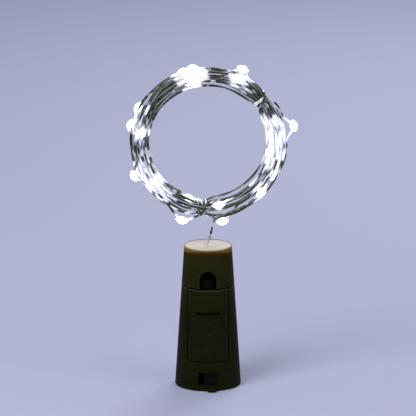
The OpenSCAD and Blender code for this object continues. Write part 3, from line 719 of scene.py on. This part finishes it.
strands = strands_tree()
join = len(LEAD) + EASY_PAST_LEAD
easy = resampled(centreline[:join + OVERLAP], LEAD_SPACING, LEAD_EASING)
wound = resampled(centreline[join + OVERLAP - 1:], COIL_SPACING, COIL_EASING)
path = np.concatenate([easy, wound[1:]])
gone = length_along(path)
in_lead = np.minimum(gone, lead_length)
turns = in_lead / LEAD_LAY + (gone - in_lead) / COIL_LAY
string = grown("light_string", paths_mesh("string_path", [(path, turns)], True), strands)


# ---------------------------------------------------------------- ties
TIE_D = 0.26
TIE_LOOPS = 3
TIE_PITCH = 1.1
TIE_CLEAR = 0.5
TIE_LAY = 5
TIE_LIT = 0.6                # the ties glint all round
LOOP_POINTS = 40
LOOP_SWAY = 0.35             # a loop sways so far along the hoop,
SWAY_DRIFT = 5               # by so many radians more from the first loop to the last
SLICE = 0.5                  # half the length of hoop that a point of a loop lies round
LOOP_EASING = 5
TIE_SPACING = 0.25
TIE_EASING = 2
TAIL_FROM = 0.2              # the tail's near and far ends
TIE_TAIL = 1.4
TAIL_WAY = [0.15, -0.2, 0.95]
TAIL_POINTS = 12
TAIL_BEND = 0.5
TAIL_ARC = 3                 # radians of a wave


def hoop_frame(angle_deg):
    """Outward and along directions of the hoop at an angle."""
    angle = math.radians(angle_deg)
    return np.array([math.cos(angle), 0, math.sin(angle)]), \
        np.array([-math.sin(angle), 0, math.cos(angle)])


def tie_path(angle_deg, seed):
    """A tie's wire: it follows the outline of the turns where it lies, a clearance away,
    and its two ends are twisted into a short tail that runs on along the hoop. Its points
    are made as the ways outward, across and along, and then set in place."""
    rng = np.random.default_rng(seed)
    out, along = hoop_frame(angle_deg)
    width = TIE_LOOPS * TIE_PITCH
    rel = route - [0, 0, HOOP_Z]
    here = rel[rel @ out > 0]
    count = TIE_LOOPS * LOOP_POINTS
    points = []
    for k in range(count + 1):
        a = 2 * math.pi * k / LOOP_POINTS
        way = np.array([math.cos(a), math.sin(a)])
        sway = LOOP_SWAY * math.sin(a + k / count * SWAY_DRIFT + seed)
        place_on = (k / count - 0.5) * width + sway
        near = here[np.abs(here @ along - place_on) < SLICE]
        flat = np.stack([near @ out, near[:, 1]], 1)
        corner = flat[(flat @ way).argmax()] + TIE_CLEAR * way
        points.append([*corner, place_on])
    points = np.array(points)
    for _ in range(LOOP_EASING):
        points[1:-1, :2] = (points[:-2, :2] + points[1:-1, :2] + points[2:, :2]) / 3
    tail = points[-1] + np.outer(np.linspace(TAIL_FROM, TIE_TAIL, TAIL_POINTS), TAIL_WAY)
    tail[:, 1] += TAIL_BEND * np.sin(np.linspace(0, TAIL_ARC, TAIL_POINTS) + rng.random())
    points = np.concatenate([points, tail])
    return np.array([[0, 0, HOOP_Z] + p[0] * out + [0, p[1], 0] + p[2] * along for p in points])


tie_paths = [resampled(tie_path(angle, seed), TIE_SPACING, TIE_EASING)
    for seed, angle in enumerate(TIE_DEG)]
ties = grown("wire_ties", paths_mesh("tie_paths", [(p, length_along(p) / TIE_LAY)
    for p in tie_paths], least_lit=TIE_LIT), strands, {"Strand diameter": TIE_D * MM})


# ---------------------------------------------------------------- lights
DROP_BELLY = 0.18            # a drop is full as far as this from its middle, of its length,
DROP_END = 0.5               # and at its end
DROP_TIP = 0.62              # it has this share of its width
DROP_DETAIL = 5
DROP_SPREAD = (0.94, 1.04)   # drops differ in length and width by these factors
DROPS_SEED = 5
ALONG_BY = 4                 # a light's direction is taken over so many points each way
PAD_SHARE = 0.36             # the pad's radius, of the chip's width
PAD_SIDES = 24


def drops_tree():
    """A drop of resin on each point: round, drawn in towards its two ends along the wire,
    and a little uneven. "size" is its length and its width, "turn" its direction."""
    tree, given = new_tree("resin drops on the wire", {"Unevenness": 0.12 * MM,
        "Unevenness size": 1.1 * MM})
    ball = add(tree, "GeometryNodeMeshIcoSphere",
        {"Radius": DROP_END, "Subdivisions": DROP_DETAIL})
    here = add(tree, "GeometryNodeInputPosition")
    x = add(tree, "ShaderNodeSeparateXYZ", {0: here})
    out = add(tree, "ShaderNodeMath", {0: x.outputs[0]}, operation="ABSOLUTE")
    middle = add(tree, "ShaderNodeMapRange", {0: out, 1: 0, 2: DROP_END, 3: 1, 4: 0})
    ball = add(tree, "GeometryNodeStoreNamedAttribute", {0: ball, 2: "middle", 3: middle},
        data_type="FLOAT", domain="POINT")
    drawn_in = add(tree, "ShaderNodeMapRange",
        {0: out, 1: DROP_BELLY, 2: DROP_END, 3: 1, 4: DROP_TIP})
    y = add(tree, "ShaderNodeMath", {0: x.outputs[1], 1: drawn_in}, operation="MULTIPLY")
    z = add(tree, "ShaderNodeMath", {0: x.outputs[2], 1: drawn_in}, operation="MULTIPLY")
    lemon = add(tree, "ShaderNodeCombineXYZ", {0: x.outputs[0], 1: y, 2: z})
    ball = add(tree, "GeometryNodeSetPosition", {0: ball, 2: lemon})
    turn = add(tree, "GeometryNodeInputNamedAttribute", {0: "turn"}, data_type="FLOAT_VECTOR")
    size = add(tree, "GeometryNodeInputNamedAttribute", {0: "size"}, data_type="FLOAT_VECTOR")
    drops = add(tree, "GeometryNodeInstanceOnPoints",
        {0: given["Geometry"], 2: ball, 5: turn, 6: size})
    real = add(tree, "GeometryNodeRealizeInstances", {0: drops})
    scale = add(tree, "ShaderNodeMath", {0: 1.0, 1: given["Unevenness size"]}, operation="DIVIDE")
    waves = add(tree, "ShaderNodeTexNoise", {"Scale": scale, "Detail": 1.0}).outputs[0]
    waves = add(tree, "ShaderNodeMath", {0: waves, 1: 0.5}, operation="SUBTRACT")
    waves = add(tree, "ShaderNodeMath", {0: waves, 1: given["Unevenness"]}, operation="MULTIPLY")
    outward = add(tree, "GeometryNodeInputNormal")
    shift = add(tree, "ShaderNodeVectorMath", {0: outward, "Scale": waves}, operation="SCALE")
    uneven = add(tree, "GeometryNodeSetPosition", {0: real, 3: shift})
    return end_tree(tree, uneven, resin)


def chips_tree():
    """A light chip on each point: a moulded body with a lit pad on it. It ends in two
    materials, and keeps its flat faces."""
    tree, given = new_tree("light chips on the wire", {"Body length": 1.2 * MM,
        "Body width": 0.9 * MM, "Body height": 0.45 * MM, "Standoff": 0.66 * MM,
        "Pad thickness": 0.1 * MM})
    whole = add(tree, "GeometryNodeJoinGeometry")
    size = add(tree, "ShaderNodeCombineXYZ", {0: given["Body length"], 1: given["Body width"],
        2: given["Body height"]})
    block = add(tree, "GeometryNodeMeshCube", {"Size": size, "Vertices X": 4, "Vertices Y": 3,
        "Vertices Z": 3})
    up = add(tree, "ShaderNodeMath", {0: given["Body height"], 1: 0.5}, operation="MULTIPLY")
    up = add(tree, "ShaderNodeCombineXYZ", {2: up})
    radius = add(tree, "ShaderNodeMath", {0: given["Body width"], 1: PAD_SHARE},
        operation="MULTIPLY")
    pad = add(tree, "GeometryNodeMeshCylinder", {"Vertices": PAD_SIDES, "Radius": radius,
        "Depth": given["Pad thickness"]})
    pad = add(tree, "GeometryNodeTransform", {0: pad.outputs[0], "Translation": up})
    pad = add(tree, "GeometryNodeStoreNamedAttribute", {0: pad, 2: "pad", 3: True},
        data_type="BOOLEAN", domain="FACE")
    for part in (block, pad):
        tree.links.new(part.outputs[0], whole.inputs[0])
    lift = add(tree, "ShaderNodeCombineXYZ", {2: given["Standoff"]})
    raised_up = add(tree, "GeometryNodeTransform", {0: whole, "Translation": lift})
    turn = add(tree, "GeometryNodeInputNamedAttribute", {0: "turn"}, data_type="FLOAT_VECTOR")
    chips = add(tree, "GeometryNodeInstanceOnPoints", {0: given["Geometry"], 2: raised_up,
        5: turn})
    real = add(tree, "GeometryNodeRealizeInstances", {0: chips})
    pads = add(tree, "GeometryNodeInputNamedAttribute", {0: "pad"}, data_type="BOOLEAN")
    body = add(tree, "GeometryNodeSetMaterial", {0: real, 2: chip_body})
    lit = add(tree, "GeometryNodeSetMaterial", {0: body, 1: pads, 2: phosphor})
    add(tree, "NodeGroupOutput", {0: lit})
    return tree


resin = lit_resin()
phosphor = chip_phosphor()
chip_body = moulded("white moulded chip body", "#DADAD6", "#EFEFEC", 0.4)
light_points, light_turns, light_sizes = [], [], []
rng = np.random.default_rng(DROPS_SEED)
for at in light_at:
    ahead = route[min(at + ALONG_BY, len(route) - 1)]
    tangent = Vector(ahead - route[at - ALONG_BY]).normalized()
    outward = Vector(route[at] - [0, 0, HOOP_Z]).normalized()
    side = tangent.cross(outward).normalized()
    upright = Matrix((tangent, side.cross(tangent), side)).transposed()
    light_points.append(route[at])
    light_turns.append(tuple(upright.to_euler()))
    longer, wider = rng.uniform(*DROP_SPREAD, 2)
    light_sizes.append((DROP_LEN * longer * MM, DROP_D * wider * MM, DROP_D * wider * MM))
on_string = points_mesh("lights", light_points, turn=light_turns, size=light_sizes)
chips = grown("chips", on_string.copy(), chips_tree())
drops = grown("resin_drops", on_string, drops_tree())

for piece, slot, replaced in ((string, "silver_wire", ("lead_wire", "wire_coil")),
        (ties, "silver_wire", ("coil_ties",)), (drops, "clear_resin", ("light_drops",)),
        (chips, "lit_chip", ("light_chips",))):
    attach(piece, "cork")
    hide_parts(*replaced)

# ---------------------------------------------------------------- floor and light
# The studio, in metres
FLOOR_NEAR = "#B6B9D4"
FLOOR_FAR = "#8F93AE"        # also the background
SOFT_LIGHT = "#8E8F96"       # what the studio's walls give to surfaces
FLOOR_R = 5
FLOOR_SIDES = 64
FLOOR_GREYS = (0.15, 1.5)    # the floor turns from near to far over these distances,
FLOOR_FADES = (0.4, 1.8)     # and into the background over these
LAMP_AIM = (0, 0, 0.06)
LAMPS = (("key", (-0.45, -0.55, 0.75), 6, 0.5), ("fill", (0.7, -0.5, 0.4), 2, 0.6),
    ("rim", (0.25, 0.7, 0.6), 3.5, 0.5))


def seen_itself(tree):
    """1 where a surface or the sky is seen, also in a mirror or through glass, and 0 where
    it only sheds light."""
    ray = add(tree, "ShaderNodeLightPath").outputs
    seen = add(tree, "ShaderNodeMath", {0: ray["Is Camera Ray"], 1: ray["Is Glossy Ray"]},
        operation="MAXIMUM")
    return add(tree, "ShaderNodeMath", {0: seen, 1: ray["Is Transmission Ray"]},
        operation="MAXIMUM")


def painted_board():
    """Matt painted board: pale lavender, greyer far away, and gone in the background."""
    made = bpy.data.materials.new("painted board, matt")
    made.use_nodes = True
    tree = made.node_tree
    shader = tree.nodes["Principled BSDF"]
    shader.inputs["Roughness"].default_value = 0.9
    shader.inputs["Specular IOR Level"].default_value = 0.1
    where = add(tree, "ShaderNodeTexCoord").outputs["Object"]
    far = add(tree, "ShaderNodeVectorMath", {0: where}, operation="LENGTH").outputs["Value"]
    share, fade = [add(tree, "ShaderNodeMapRange", {0: far, 1: start, 2: end},
        interpolation_type="SMOOTHSTEP") for start, end in (FLOOR_GREYS, FLOOR_FADES)]
    colour = add(tree, "ShaderNodeMix", {0: share, 6: linear(FLOOR_NEAR), 7: linear(FLOOR_FAR)},
        data_type="RGBA")
    tree.links.new(colour.outputs[2], shader.inputs["Base Color"])
    plain = add(tree, "ShaderNodeEmission", {0: linear(FLOOR_FAR), 1: 1.0})
    fade = add(tree, "ShaderNodeMath", {0: fade, 1: seen_itself(tree)}, operation="MULTIPLY")
    mixed = add(tree, "ShaderNodeMixShader", {0: fade, 1: shader, 2: plain})
    tree.links.new(mixed.outputs[0], tree.nodes["Material Output"].inputs[0])
    return made


def floor():
    """A round floor that reaches into the background."""
    ring = [(FLOOR_R * math.cos(a), FLOOR_R * math.sin(a), 0)
        for a in np.linspace(0, 2 * math.pi, FLOOR_SIDES, endpoint=False)]
    mesh = bpy.data.meshes.new("floor")
    mesh.from_pydata(ring, [], [list(range(len(ring)))])
    mesh.materials.append(painted_board())
    place("floor", mesh)


def sky():
    """A background of one colour, whose light on surfaces is a softer grey."""
    world = bpy.data.worlds.new("studio")
    scene.world = world
    world.use_nodes = True
    tree = world.node_tree
    colour = add(tree, "ShaderNodeMix", {0: seen_itself(tree), 6: linear(SOFT_LIGHT),
        7: linear(FLOOR_FAR)}, data_type="RGBA")
    tree.links.new(colour.outputs[2], tree.nodes["Background"].inputs[0])


def lamp(name, spot, power, size):
    """A square soft box that points at the object."""
    made = bpy.data.lights.new(name, "AREA")
    made.energy = power
    made.size = size
    holder = bpy.data.objects.new(name, made)
    scene.collection.objects.link(holder)
    holder.location = spot
    way = Vector(LAMP_AIM) - Vector(spot)
    holder.rotation_euler = way.to_track_quat("-Z", "Y").to_euler()


floor()
sky()
for settings in LAMPS:
    lamp(*settings)

scene.view_settings.view_transform = "Standard"
